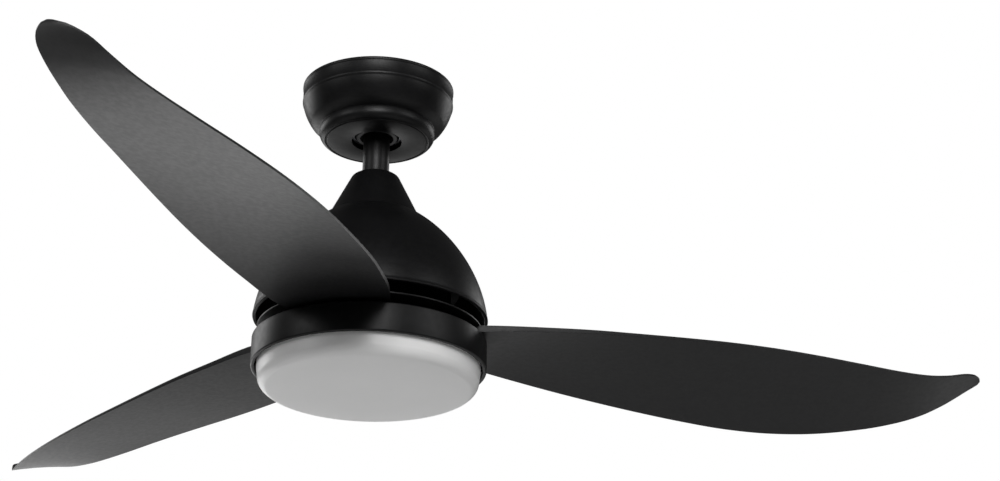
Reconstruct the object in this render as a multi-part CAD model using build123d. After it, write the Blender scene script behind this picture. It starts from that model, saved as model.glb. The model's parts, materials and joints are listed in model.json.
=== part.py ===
"""Ceiling fan with light: a short-rod, three-blade fan with a domed motor housing and an LED light.

Frame: the origin is the centre of the bracket's face on the ceiling, +Z is up, and the fan hangs below.
"""
from build123d import *

import math
import os

# ---------------------------------------------------------------- driving dimensions, in mm
BLADE_COUNT = 3
FIRST_BLADE_AZIMUTH = 10.0
BLADE_PITCH = 360.0 / BLADE_COUNT

SWING_Z = -33.0                 # centre of the hanger ball, about which the whole fan swings
BALL_R = 27.0
BALL_SEAT_GAP = 0.35
ROD_R = 12.7
ROD_WALL = 2.0
SWING_RELIEF_DEG = 9.0          # flare of the ball's bore, wider than the rod's rock on its pin

CANOPY_R = 72.0
CANOPY_WALL = 1.4
TRIM_BOTTOM_Z = -55.0
TRIM_HOLE_R = 24.0
TRIM_R = 55.2

COVER_TOP_Z = -94.6             # coupling cover, the cone over the joint of rod and motor
COVER_TOP_R = 22.8
DOME_TOP_Z = -136.2
DOME_TOP_R = 43.7
DOME_R = 108.7                  # the dome's outline is a superellipse about (0, DOME_CENTRE_Z)
DOME_CENTRE_Z = -244.2
DOME_HEIGHT = 123.2
DOME_POWER = 1.75
DOME_LIP_Z = -239.0
SHELL_WALL = 2.2

SHAFT_R = 8.5
SHAFT_BORE_R = 5.5
ROTOR_R = 74.0
ROTOR_WALL = 4.0
ROTOR_TOP_Z = -172.0
ROTOR_SPLIT_Z = -207.5
AIR_GAP = 0.8
MAGNET_COUNT = 14
TOOTH_COUNT = 12

CARRIER_R = 104.0
CARRIER_TOP_Z = -248.6
CARRIER_BOTTOM_Z = -250.2

PAN_R = 108.0                   # light ring
PAN_TOP_Z = -260.0
PAN_BOTTOM_Z = -287.4
PAN_WALL = 2.5
LENS_R = 102.6
LENS_WALL = 2.0
LENS_BOTTOM_Z = -306.0
LUG_COUNT = 3

M4_R = 2.0
M5_R = 2.5
THREAD_GAP = 0.05

# Blade sections, in the blade's own frame with X along it. Each gives the distance out, the leading edge's
# y and z, the trailing edge's y and z, both on the underside, and the thickness at the edges and mid-chord.
BLADE_SECTIONS = (
    (68.0, -38.0, -256.4, 43.0, -256.4, 6.2, 6.2),
    (86.0, -43.5, -256.4, 49.0, -256.4, 6.2, 6.2),
    (104.0, -48.5, -256.4, 54.5, -256.0, 6.2, 6.2),
    (125.0, -52.5, -255.6, 60.0, -258.0, 5.4, 6.4),
    (150.0, -55.5, -254.5, 65.0, -261.0, 4.6, 6.6),
    (195.0, -59.7, -253.2, 73.0, -266.2, 3.8, 6.4),
    (240.0, -61.6, -252.6, 78.4, -271.5, 3.2, 6.0),
    (285.0, -61.9, -251.9, 82.2, -276.6, 2.8, 5.6),
    (330.0, -60.7, -251.3, 84.7, -281.2, 2.5, 5.2),
    (375.0, -58.0, -251.6, 84.6, -285.2, 2.3, 4.8),
    (420.0, -54.1, -253.0, 80.3, -287.2, 2.1, 4.4),
    (465.0, -49.5, -255.3, 70.5, -286.6, 2.0, 4.0),
    (510.0, -43.6, -257.1, 55.0, -282.8, 1.9, 3.6),
    (540.0, -39.2, -256.4, 41.8, -277.9, 1.8, 3.2),
    (562.0, -36.7, -253.6, 30.5, -271.8, 1.7, 2.8),
    (580.0, -34.3, -249.4, 20.3, -263.6, 1.6, 2.5),
    (592.0, -29.5, -247.3, 12.3, -256.6, 1.6, 2.3),
    (599.0, -24.0, -246.9, 4.5, -252.2, 1.5, 2.1),
    (604.0, -18.5, -246.9, -3.0, -249.4, 1.5, 1.9),
    (606.0, -14.0, -247.2, -8.5, -248.3, 1.5, 1.6),
)
BLADE_CAMBER = 0.018            # rise of the underside at mid-chord, as a share of the chord
BLADE_SCREWS = ((84.0, -17.0), (84.0, 19.0), (95.0, 1.0))     # radius and angle from the blade's centreline
BLADE_SCREW_HEAD_H = 2.2
BLADE_SEAT_Z = -256.2           # spot faces that the screw heads sit on

OUT_DIR = "parts"
os.makedirs(OUT_DIR, exist_ok=True)


# ---------------------------------------------------------------- helpers
def save(name, shape):
    """Write one sub-part, as one solid or as a group of identical solids."""
    solids = shape.solids()
    body = solids[0] if len(solids) == 1 else Compound(children=list(solids))
    body.label = name
    export_step(body, os.path.join(OUT_DIR, name + ".step"))


def disc(radius, low, high):
    """A cylinder about the fan's axis, between two heights."""
    return Pos(0, 0, (low + high) / 2) * Cylinder(radius, high - low)


def tube(outer, inner, low, high):
    """A ring about the fan's axis, between two heights."""
    return disc(outer, low, high) - disc(inner, low - 1, high + 1)


def post(radius, x, y, low, high):
    """A cylinder parallel to the fan's axis."""
    return Pos(x, y, 0) * disc(radius, low, high)


def block(x_span, y_span, z_span):
    """A box from its three spans."""
    spans = (x_span, y_span, z_span)
    sizes = [high - low for low, high in spans]
    centre = [(high + low) / 2 for low, high in spans]
    return Pos(*centre) * Box(*sizes)


def turned(*edges):
    """A solid turned about Z from edges that close an outline in the XZ plane."""
    return revolve(make_face(Wire(list(edges)).edges()), Axis.Z)


def outline(*points):
    """Straight edges through points given as (radius, height)."""
    return [Line((a[0], 0, a[1]), (b[0], 0, b[1])) for a, b in zip(points, points[1:])]


def polar(radius, degrees):
    """X and Y of a point at a radius and an azimuth."""
    angle = math.radians(degrees)
    return radius * math.cos(angle), radius * math.sin(angle)


def around(count, start=0.0):
    """Evenly spaced azimuths."""
    return [start + index * 360.0 / count for index in range(count)]


def grouped(shapes):
    """Several separate solids as one group."""
    return Compound(children=list(shapes))


def pan_head_screw(radius, x, y, seat, tip, head_height=2.4):
    """A screw pointing up: its head is under the seat, and its shank ends at the tip."""
    head = post(radius * 1.8, x, y, seat - head_height, seat)
    drive = post(radius * 0.8, x, y, seat - head_height - 1, seat - head_height * 0.4)
    return head + post(radius, x, y, seat, tip) - drive


def dome_points(inset, low, count):
    """Points up the dome's side, from a height to the top plate, for a surface set in by a distance."""
    radius, height = DOME_R - inset, DOME_HEIGHT - inset
    start = ((low - DOME_CENTRE_Z) / height) ** (DOME_POWER / 2)
    stop = ((DOME_TOP_Z - inset - DOME_CENTRE_Z) / height) ** (DOME_POWER / 2)
    points = []
    for index in range(count):
        angle = math.asin(start + (stop - start) * index / (count - 1))
        across = radius * math.cos(angle) ** (2 / DOME_POWER)
        up = DOME_CENTRE_Z + height * math.sin(angle) ** (2 / DOME_POWER)
        points.append((across, 0, up))
    return points


# ---------------------------------------------------------------- ceiling mount
BRACKET_T = 2.5
SLOT_SPACING = 90.0
SLOT_LENGTH = 18.0
SLOT_HALF_WIDTH = 3.25
LEG_X = 29.2
CUP_LOW_Z = -50.0
CUP_HIGH_Z = -38.0
CUP_HOLE_R = 21.5
FOOT_Z = -40.0
FOOT_X = 44.0
CANOPY_FLOOR_Z = -42.0
CANOPY_SCREW_X = 41.0
EARTH_SCREW_AT = (-20.0, -17.0)


def hanger_bracket():
    """Plate on the ceiling, two legs, and the open cup that the hanger ball sits in."""
    plate = block((-60, 60), (-23, 23), (-BRACKET_T, 0)) + block((-20, 20), (-52, 58), (-BRACKET_T, 0))
    for side in (-1, 1):
        slot = extrude(SlotOverall(SLOT_LENGTH, 2 * SLOT_HALF_WIDTH), 4, both=True)
        plate -= Pos(side * SLOT_SPACING / 2, 0, 0) * slot
    seat_r = BALL_R + BALL_SEAT_GAP
    shell = Pos(0, 0, SWING_Z) * (Sphere(seat_r + BRACKET_T) - Sphere(seat_r))
    cup = shell & disc(CUP_HOLE_R + 20, CUP_LOW_Z, CUP_HIGH_Z)
    cup -= disc(CUP_HOLE_R, CUP_LOW_Z - 1, CUP_HIGH_Z)
    cup -= block((-14.5, 14.5), (0, 40), (CUP_LOW_Z - 1, CUP_HIGH_Z + 1))
    body = plate + cup
    for side in (-1, 1):
        leg_x = sorted((side * LEG_X, side * (LEG_X + BRACKET_T)))
        foot_x = sorted((side * LEG_X, side * (FOOT_X + 4)))
        body += block(leg_x, (-15, 15), (FOOT_Z, -1))
        body += block(foot_x, (-8, 8), (FOOT_Z - 2, FOOT_Z))
    for side in (-1, 1):
        body -= post(M4_R + THREAD_GAP, side * CANOPY_SCREW_X, 0, FOOT_Z - 3, FOOT_Z + 1)
    body -= post(M4_R + THREAD_GAP, *EARTH_SCREW_AT, -BRACKET_T - 1, 1)
    key = block((-1.8, 1.8), (-BALL_R - 1.5, -BALL_R + 2.0), (CUP_HIGH_Z - 6, CUP_HIGH_Z))
    ball_room = Pos(0, 0, SWING_Z) * Sphere(seat_r)
    # The key stands into the ball's slot; everything else stays outside the seat.
    return (body - (ball_room & block((-40, 40), (-40, 40), (-90, -3)))) + key


def ceiling_canopy():
    """Bowl over the bracket, with its rim on the ceiling and a flat floor under the bracket's feet."""
    wall = CANOPY_WALL
    side = CANOPY_R + 0.2
    rim = outline((CANOPY_R + 0.7, -0.6), (CANOPY_R + 0.7, -3.0), (side, -3.8), (side, -15.0))
    bowl = ThreePointArc((side, 0, -15.0), (69.2, 0, -27.0), (63.5, 0, -37.0))
    under = ThreePointArc((63.5, 0, -37.0), (60.0, 0, -40.1), (55.2, 0, -42.8))
    floor = outline((55.2, -42.8), (54.8, CANOPY_FLOOR_Z - wall), (33.5, CANOPY_FLOOR_Z - wall),
                    (33.5, CANOPY_FLOOR_Z), (54.2, CANOPY_FLOOR_Z))
    lap = ThreePointArc((54.2, 0, CANOPY_FLOOR_Z), (58.9, 0, -39.2), (62.2, 0, -36.2))
    inside = ThreePointArc((62.2, 0, -36.2), (67.8, 0, -26.5), (side - wall, 0, -14.8))
    close = outline((side - wall, -14.8), (side - wall, -0.6), (CANOPY_R + 0.7, -0.6))
    body = turned(*rim, bowl, under, *floor, lap, inside, *close)
    bead = Pos(0, 0, -16.6) * Torus(CANOPY_R - 0.5, 1.1)
    body += bead - disc(side - wall, -20, -10)
    for side_sign in (-1, 1):
        body -= post(M4_R + 0.3, side_sign * CANOPY_SCREW_X, 0, CANOPY_FLOOR_Z - 3, CANOPY_FLOOR_Z + 1)
    return body


def canopy_screws():
    """Two screws up through the canopy's floor into the bracket's feet."""
    seat = CANOPY_FLOOR_Z - CANOPY_WALL
    return grouped(pan_head_screw(M4_R, side * CANOPY_SCREW_X, 0, seat, FOOT_Z + 3) for side in (-1, 1))


def canopy_trim_ring():
    """Ring snapped on below the canopy that hides its screws, with the hole that the rod swings in."""
    bottom = TRIM_BOTTOM_Z
    side = outline((TRIM_R, -43.6), (TRIM_R, -47.5))
    outside = ThreePointArc((TRIM_R, 0, -47.5), (53.4, 0, -52.5), (49.8, 0, bottom))
    under = outline((49.8, bottom), (49.0, bottom + 0.8), (48.2, bottom + 0.8), (47.6, bottom),
                    (TRIM_HOLE_R, bottom), (TRIM_HOLE_R, bottom + 1.4), (46.2, bottom + 1.4),
                    (47.2, bottom + 2.3), (49.2, bottom + 2.3))
    inside = ThreePointArc((49.2, 0, bottom + 2.3), (52.1, 0, -51.2), (TRIM_R - 1.4, 0, -47.5))
    return turned(*side, outside, *under, inside, *outline((TRIM_R - 1.4, -47.5), (TRIM_R - 1.4, -43.6),
                                                           (TRIM_R, -43.6)))


def receiver_module():
    """Remote-control receiver in its plastic box, stuck under the bracket's wing."""
    box = block((-28, 28), (30, 56), (-22.5, -BRACKET_T))
    edges = box.edges().filter_by(Axis.Z)
    return fillet(edges, 3)


def terminal_block():
    """Three-way terminal block for the house wiring."""
    body = block((-18, 18), (-46, -30), (-16.5, -BRACKET_T))
    for x in (-11, 0, 11):
        body -= post(2.2, x, -38, -18, -9)
        body -= Pos(x, -46, -12) * Rot(90, 0, 0) * Cylinder(1.8, 14)
    return body


def earth_screw():
    """Green earth screw in the bracket's plate."""
    return pan_head_screw(M4_R, *EARTH_SCREW_AT, -BRACKET_T, -0.3)


# ---------------------------------------------------------------- hanger ball and rod
PIN_R = 4.0
ROD_TOP_Z = -17.0
ROD_LOW_Z = -122.0
CLEVIS_Z = -112.0
CLEVIS_R = 3.0
SET_SCREW_Z = -105.0
CABLE_R = 2.1
CABLE_X = 7.0
CABLE_SHAFT_X = 2.8


def hanger_ball():
    """Ball at the rod's top: it swings in the bracket's cup, and its bore is flared for the rod."""
    body = Sphere(BALL_R) & disc(BALL_R + 1, -19, 18)
    flare = math.tan(math.radians(SWING_RELIEF_DEG))
    waist = ROD_R + 0.3
    for side in (-1, 1):
        height = 21.0
        cone = Cone(waist, waist + height * flare, height)
        body -= Pos(0, 0, side * height / 2) * (cone if side > 0 else Rot(180, 0, 0) * cone)
    # The slot's floor is round about the swing axis, so the bracket's key clears it at both stops.
    key_slot = block((-2.3, 2.3), (-BALL_R - 1, 0), (-17, 8))
    body -= key_slot - Rot(0, 90, 0) * Cylinder(BALL_R - 2.1, 60)
    body -= Rot(90, 0, 0) * Cylinder(PIN_R, 60)
    return Pos(0, 0, SWING_Z) * body


def ball_cross_pin():
    """Pin through the ball and the rod, along Y, on which the rod rocks."""
    return Pos(0, 0, SWING_Z) * Rot(90, 0, 0) * chamfer(Cylinder(PIN_R, 45).edges(), 0.6)


def downrod():
    """Short steel tube between the ball and the motor's yoke."""
    body = tube(ROD_R, ROD_R - ROD_WALL, ROD_LOW_Z, ROD_TOP_Z)
    body -= Pos(0, 0, SWING_Z) * Rot(90, 0, 0) * Cylinder(PIN_R + THREAD_GAP, 60)
    return body - Pos(0, 0, CLEVIS_Z) * Rot(90, 0, 0) * Cylinder(CLEVIS_R + THREAD_GAP, 60)


def rod_cable():
    """Sheathed cable down the rod, past its two pins, and down the hollow shaft to the light."""
    path = FilletPolyline((CABLE_X, 0, ROD_TOP_Z - 2), (CABLE_X, 0, CLEVIS_Z - 4), (CABLE_SHAFT_X, 0, ROD_LOW_Z - 3),
                          (CABLE_SHAFT_X, 0, SHAFT_LOW_Z), radius=20)
    return sweep(Plane((CABLE_X, 0, ROD_TOP_Z - 2), z_dir=(0, 0, -1)) * Circle(CABLE_R), path=path)


def coupling_cover():
    """Cone over the joint of rod and motor, with a rounded top and a crisp base on the dome."""
    wall = 1.8
    hole = ROD_R + 0.6
    shoulder = ThreePointArc((hole, 0, COVER_TOP_Z + 3.2), (19.0, 0, COVER_TOP_Z + 2.4),
                             (COVER_TOP_R, 0, COVER_TOP_Z))
    side = outline((COVER_TOP_R, COVER_TOP_Z), (DOME_TOP_R - 0.3, DOME_TOP_Z),
                   (DOME_TOP_R - 0.3 - wall * 1.12, DOME_TOP_Z), (COVER_TOP_R - wall, COVER_TOP_Z - 0.6),
                   (18.6, COVER_TOP_Z + 0.7), (hole, COVER_TOP_Z + 1.4), (hole, COVER_TOP_Z + 3.2))
    return turned(shoulder, *side)


# ---------------------------------------------------------------- yoke and static housing
YOKE_TOP_Z = -98.0
YOKE_FLANGE_R = 38.0
SHAFT_TOP_Z = -126.0
DOME_SCREW_R = 30.0


def motor_yoke():
    """Socket for the rod, with a flange that carries the dome and a threaded hole for the shaft."""
    body = disc(18.0, DOME_TOP_Z, YOKE_TOP_Z) - disc(ROD_R + THREAD_GAP, ROD_LOW_Z - 1, YOKE_TOP_Z + 1)
    body += disc(YOKE_FLANGE_R, DOME_TOP_Z, DOME_TOP_Z + 3.0)
    body -= disc(SHAFT_R, DOME_TOP_Z - 1, SHAFT_TOP_Z)
    body -= disc(7.0, SHAFT_TOP_Z - 1, ROD_LOW_Z + 1)
    body -= Pos(0, 0, CLEVIS_Z) * Rot(90, 0, 0) * Cylinder(CLEVIS_R + THREAD_GAP, 60)
    for side in (-1, 1):
        body -= Pos(side * 16, 0, SET_SCREW_Z) * Rot(0, 90, 0) * Cylinder(3.0 + THREAD_GAP, 12)
    for azimuth in around(4, 45):
        x, y = polar(DOME_SCREW_R, azimuth)
        body -= post(M4_R + THREAD_GAP, x, y, DOME_TOP_Z - 1, DOME_TOP_Z + 4)
    return body


def yoke_clevis_pin():
    """Headed pin along Y through the yoke and the rod."""
    body = Rot(90, 0, 0) * Cylinder(CLEVIS_R, 46) + Pos(0, -22, 0) * Rot(90, 0, 0) * Cylinder(5.0, 2.4)
    body -= Pos(0, 20.6, 0) * Rot(0, 90, 0) * Cylinder(0.9, 10)
    return Pos(0, 0, CLEVIS_Z) * body


def yoke_pin_clip():
    """Spring pin through the clevis pin's end."""
    straight = Pos(0, 20.6, CLEVIS_Z) * Rot(0, 90, 0) * Cylinder(0.8, 16)
    return straight + Pos(8, 20.6, CLEVIS_Z) * Sphere(1.5)


def yoke_set_screws():
    """Two set screws that clamp the rod in the yoke."""
    screws = []
    for side in (-1, 1):
        body = Rot(0, 90, 0) * Cylinder(3.0, 8.6)
        body -= Pos(side * 4.3, 0, 0) * Rot(0, 90, 0) * Cylinder(1.5, 4)
        screws.append(Pos(side * (ROD_R + 0.1 + 4.3), 0, SET_SCREW_Z) * body)
    return grouped(screws)


def motor_housing_dome():
    """Fixed dome over the motor: a superellipse shell closed by a plate under the yoke's flange."""
    lip_outer = dome_points(0, DOME_LIP_Z, 12)
    lip_inner = dome_points(SHELL_WALL, DOME_LIP_Z, 12)
    outer = Spline(*lip_outer)
    inner = Spline(*reversed(lip_inner))
    top_out, top_in = lip_outer[-1], lip_inner[-1]
    plate = outline((top_out[0], top_out[2]), (SHAFT_R + 0.3, top_out[2]), (SHAFT_R + 0.3, top_in[2]),
                    (top_in[0], top_in[2]))
    lip = outline((lip_inner[0][0], DOME_LIP_Z), (lip_outer[0][0], DOME_LIP_Z))
    body = turned(outer, *plate, inner, *lip)
    for azimuth in around(4, 45):
        x, y = polar(DOME_SCREW_R, azimuth)
        body += post(4.5, x, y, DOME_TOP_Z - 8, DOME_TOP_Z - 1)
        body -= post(M4_R + THREAD_GAP, x, y, DOME_TOP_Z - 9, DOME_TOP_Z + 1)
    return body


def dome_screws():
    """Four screws down through the yoke's flange into the dome's bosses."""
    screws = []
    for azimuth in around(4, 45):
        x, y = polar(DOME_SCREW_R, azimuth)
        seat = DOME_TOP_Z + 3.0
        screw = post(3.6, x, y, seat, seat + 2.2) + post(M4_R, x, y, DOME_TOP_Z - 7, seat)
        screws.append(screw - post(1.5, x, y, seat + 1.0, seat + 3))
    return grouped(screws)


# ---------------------------------------------------------------- motor
BEARING_R = 17.5
BEARING_H = 10.0
BALL_CIRCLE_R = 13.0
BEARING_BALL_R = 2.6
BEARING_BALLS = 9
UPPER_BEARING_Z = -171.0
LOWER_BEARING_Z = -243.0
MAGNET_T = 4.0
SHAFT_LOW_Z = -268.0
BOSS_R = 22.0
CASE_FLANGE_R = 82.0
CASE_SCREW_R = 78.0
STATOR_TOP_Z = -197.0
STATOR_LOW_Z = -219.0


def motor_shaft():
    """Hollow fixed shaft from the yoke down to the light."""
    return tube(SHAFT_R, SHAFT_BORE_R, SHAFT_LOW_Z, SHAFT_TOP_Z)


def stator_core():
    """Laminated stator on the shaft, with teeth that widen into pole shoes."""
    pole_r = ROTOR_R - ROTOR_WALL - 4.0 - MAGNET_T - AIR_GAP
    body = tube(29.0, SHAFT_R, STATOR_LOW_Z, STATOR_TOP_Z)
    shoe_ring = tube(pole_r, pole_r - 4.0, STATOR_LOW_Z, STATOR_TOP_Z)
    slots = [Rot(0, 0, azimuth) * block((40, 80), (-2.2, 2.2), (STATOR_LOW_Z - 1, STATOR_TOP_Z + 1))
             for azimuth in around(TOOTH_COUNT, 180 / TOOTH_COUNT)]
    teeth = [Rot(0, 0, azimuth) * block((28, pole_r - 3), (-4, 4), (STATOR_LOW_Z, STATOR_TOP_Z))
             for azimuth in around(TOOTH_COUNT)]
    return body + (shoe_ring - slots) + teeth


def stator_windings():
    """One copper coil round each tooth."""
    low, high = STATOR_LOW_Z - 4.5, STATOR_TOP_Z + 4.5
    coil = block((31, 55.5), (-7.3, 7.3), (low, high))
    coil = fillet(coil.edges().filter_by(Axis.X), 3.0)
    coil -= block((30, 56), (-4.3, 4.3), (STATOR_LOW_Z - 0.4, STATOR_TOP_Z + 0.4))
    return grouped(Rot(0, 0, azimuth) * coil for azimuth in around(TOOTH_COUNT))


def rotor_magnets():
    """Ring of arc magnets inside the rotor."""
    outer = ROTOR_R - ROTOR_WALL - 4.0
    ring = tube(outer, outer - MAGNET_T, STATOR_LOW_Z - 2, STATOR_TOP_Z + 2)
    gaps = [Rot(0, 0, azimuth) * block((40, 80), (-1, 1), (-240, -180)) for azimuth in around(MAGNET_COUNT)]
    return ring - gaps


def rotor_iron_ring():
    """Steel ring behind the magnets."""
    outer = ROTOR_R - ROTOR_WALL
    return tube(outer, outer - 4.0, STATOR_LOW_Z - 4, STATOR_TOP_Z + 4)


def case_flange(low, high, hole):
    """Flange at the rotor's split, with holes for its screws."""
    body = tube(CASE_FLANGE_R, ROTOR_R - ROTOR_WALL, low, high)
    for azimuth in around(6, 30):
        x, y = polar(CASE_SCREW_R, azimuth)
        body -= post(hole, x, y, low - 1, high + 1)
    return body


def rotor_upper_case():
    """Cast upper half of the rotor's case, with the upper bearing's seat."""
    top = ROTOR_TOP_Z
    body = tube(ROTOR_R, ROTOR_R - ROTOR_WALL, ROTOR_SPLIT_Z, top) + tube(ROTOR_R, BOSS_R - 1, top - 3.0, top)
    body = chamfer(body.edges().filter_by(GeomType.CIRCLE).group_by(Axis.Z)[-1].sort_by(SortBy.LENGTH)[-1], 2)
    body += tube(BOSS_R, BEARING_R, UPPER_BEARING_Z - 6, UPPER_BEARING_Z + 5)
    body += tube(BEARING_R + 1, BEARING_R - 2, UPPER_BEARING_Z + 5, UPPER_BEARING_Z + 6.5)
    for azimuth in around(8, 22.5):
        body -= Rot(0, 0, azimuth) * Pos(45, 0, top) * extrude(SlotOverall(26, 7), 6, both=True)
    return body + case_flange(ROTOR_SPLIT_Z, ROTOR_SPLIT_Z + 2.5, M4_R + THREAD_GAP)


def rotor_lower_case():
    """Cast lower half of the rotor's case, with the lower bearing's seat and the face for the carrier."""
    body = tube(ROTOR_R, ROTOR_R - ROTOR_WALL, CARRIER_TOP_Z, ROTOR_SPLIT_Z)
    body += tube(ROTOR_R, BEARING_R - 2, CARRIER_TOP_Z, CARRIER_TOP_Z + 3.0)
    body += tube(BOSS_R, BEARING_R, CARRIER_TOP_Z, LOWER_BEARING_Z + 6)
    body -= disc(BEARING_R, LOWER_BEARING_Z - BEARING_H / 2, LOWER_BEARING_Z + BEARING_H / 2)
    for azimuth in around(6, 30):
        x, y = polar(50, azimuth)
        body -= post(M4_R + THREAD_GAP, x, y, CARRIER_TOP_Z - 1, CARRIER_TOP_Z + 4)
    return body + case_flange(ROTOR_SPLIT_Z - 2.5, ROTOR_SPLIT_Z, M4_R + 0.3)


def rotor_case_screws():
    """Six screws up through the rotor's split flange."""
    return grouped(pan_head_screw(M4_R, *polar(CASE_SCREW_R, azimuth), ROTOR_SPLIT_Z - 2.5, ROTOR_SPLIT_Z + 2.3)
                   for azimuth in around(6, 30))


def bearing_groove(z):
    """Torus that the balls run in, a little larger than they are."""
    return Pos(0, 0, z) * Torus(BALL_CIRCLE_R, BEARING_BALL_R + 0.06)


def bearing_inner_race(z):
    """Race on the shaft."""
    half = BEARING_H / 2
    return tube(BALL_CIRCLE_R - 1.8, SHAFT_R, z - half, z + half) - bearing_groove(z)


def bearing_outer_race(z):
    """Race in the rotor's case."""
    half = BEARING_H / 2
    return tube(BEARING_R, BALL_CIRCLE_R + 1.8, z - half, z + half) - bearing_groove(z)


def bearing_balls(z):
    """The ring of steel balls."""
    return grouped(Pos(*polar(BALL_CIRCLE_R, azimuth), z) * Sphere(BEARING_BALL_R)
                   for azimuth in around(BEARING_BALLS))


def bearing_cage(z):
    """Cage that spaces the balls."""
    body = tube(BALL_CIRCLE_R + 0.6, BALL_CIRCLE_R - 0.6, z - 3.6, z + 3.6)
    pocket = Pos(BALL_CIRCLE_R, 0, z) * Rot(0, 90, 0) * Cylinder(BEARING_BALL_R + 0.12, 6)
    for azimuth in around(BEARING_BALLS):
        body -= Rot(0, 0, azimuth) * pocket
    return body


# ---------------------------------------------------------------- blades
def blade_carrier():
    """Flange under the rotor that the blades are screwed to: its edge shows as a thin rib."""
    body = tube(CARRIER_R, 24.0, CARRIER_BOTTOM_Z, CARRIER_TOP_Z)
    for azimuth in around(6, 30):
        x, y = polar(50, azimuth)
        body -= post(M4_R + 0.3, x, y, CARRIER_BOTTOM_Z - 1, CARRIER_TOP_Z + 1)
    for x, y in blade_screw_places():
        body -= post(M5_R + THREAD_GAP, x, y, CARRIER_BOTTOM_Z - 1, CARRIER_TOP_Z + 1)
    return body


def carrier_screws():
    """Six screws that hold the carrier to the rotor."""
    return grouped(pan_head_screw(M4_R, *polar(50, azimuth), CARRIER_BOTTOM_Z, CARRIER_TOP_Z + 2.8)
                   for azimuth in around(6, 30))


def blade_azimuths():
    """Azimuth of each blade's centreline."""
    return around(BLADE_COUNT, FIRST_BLADE_AZIMUTH)


def blade_screw_places():
    """X and Y of every blade screw."""
    return [polar(radius, azimuth + angle) for azimuth in blade_azimuths() for radius, angle in BLADE_SCREWS]


def blade_nuts():
    """Pressed-in nuts on the carrier's upper face."""
    return grouped(tube_at(4.5, M5_R + THREAD_GAP, x, y, CARRIER_TOP_Z, CARRIER_TOP_Z + 3.2)
                   for x, y in blade_screw_places())


def tube_at(outer, inner, x, y, low, high):
    """A ring about an axis parallel to the fan's."""
    return post(outer, x, y, low, high) - post(inner, x, y, low - 1, high + 1)


def blade_section(station):
    """Closed outline of one blade section, in a plane across the blade."""
    x, lead_y, lead_z, trail_y, trail_z, edge_t, middle_t = station
    rise = BLADE_CAMBER * (trail_y - lead_y) if x > 110 else 0.0
    middle_y, middle_z = (lead_y + trail_y) / 2, (lead_z + trail_z) / 2 + rise
    lead, trail = Vector(x, lead_y, lead_z), Vector(x, trail_y, trail_z)
    up = Vector(0, 0, edge_t)
    if rise == 0.0:
        under = Line(lead, trail)
        over = Line(trail + up, lead + up)
    else:
        under = ThreePointArc(lead, Vector(x, middle_y, middle_z), trail)
        over = ThreePointArc(trail + up, Vector(x, middle_y, middle_z + middle_t), lead + up)
    return Wire([under.edge(), Line(trail, trail + up).edge(), over.edge(), Line(lead + up, lead).edge()])


def blade(azimuth):
    """One moulded blade, flat at the root and twisting and curling up towards the tip."""
    body = loft([make_face(blade_section(station).edges()) for station in BLADE_SECTIONS])
    body -= disc(CARRIER_R + 0.5, CARRIER_BOTTOM_Z, CARRIER_TOP_Z)
    for radius, angle in BLADE_SCREWS:
        x, y = polar(radius, angle)
        body -= post(M5_R + 0.3, x, y, BLADE_SEAT_Z - 1, CARRIER_TOP_Z)
        body -= post(2 * M5_R, x, y, BLADE_SEAT_Z - 2, BLADE_SEAT_Z)
    return Rot(0, 0, azimuth) * body


def blade_screws():
    """Three screws up through each blade's root into the carrier's nuts."""
    return grouped(pan_head_screw(M5_R, x, y, BLADE_SEAT_Z, CARRIER_TOP_Z + 3.0, BLADE_SCREW_HEAD_H)
                   for x, y in blade_screw_places())


# ---------------------------------------------------------------- light
MOUNT_R = 44.0
MOUNT_LOW_Z = PAN_TOP_Z
MOUNT_T = 2.4
PAN_SCREW_R = 36.0
LED_PLATE_R = 88.0
LED_PLATE_TOP_Z = -276.0
LED_BOARD_R = 72.0
STANDOFF_R = 80.0
LEDGE_R = 103.4
LEDGE_TOP_Z = -281.0
LEDGE_LOW_Z = -283.0


def shaft_nuts():
    """Nuts above and below the light's mounting plate."""
    nuts = []
    for low, high in ((MOUNT_LOW_Z + MOUNT_T, MOUNT_LOW_Z + MOUNT_T + 4.5), (MOUNT_LOW_Z - 5.0, MOUNT_LOW_Z)):
        nut = Pos(0, 0, low) * extrude(RegularPolygon(14.5, 6), high - low)
        nuts.append(nut - disc(SHAFT_R, low - 1, high + 1))
    return grouped(nuts)


def light_mount_plate():
    """Steel plate on the shaft that the light is screwed to."""
    body = tube(MOUNT_R, SHAFT_R, MOUNT_LOW_Z, MOUNT_LOW_Z + MOUNT_T)
    for azimuth in around(3, 90):
        x, y = polar(PAN_SCREW_R, azimuth)
        body -= post(M4_R + THREAD_GAP, x, y, MOUNT_LOW_Z - 1, MOUNT_LOW_Z + 4)
    return body


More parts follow.
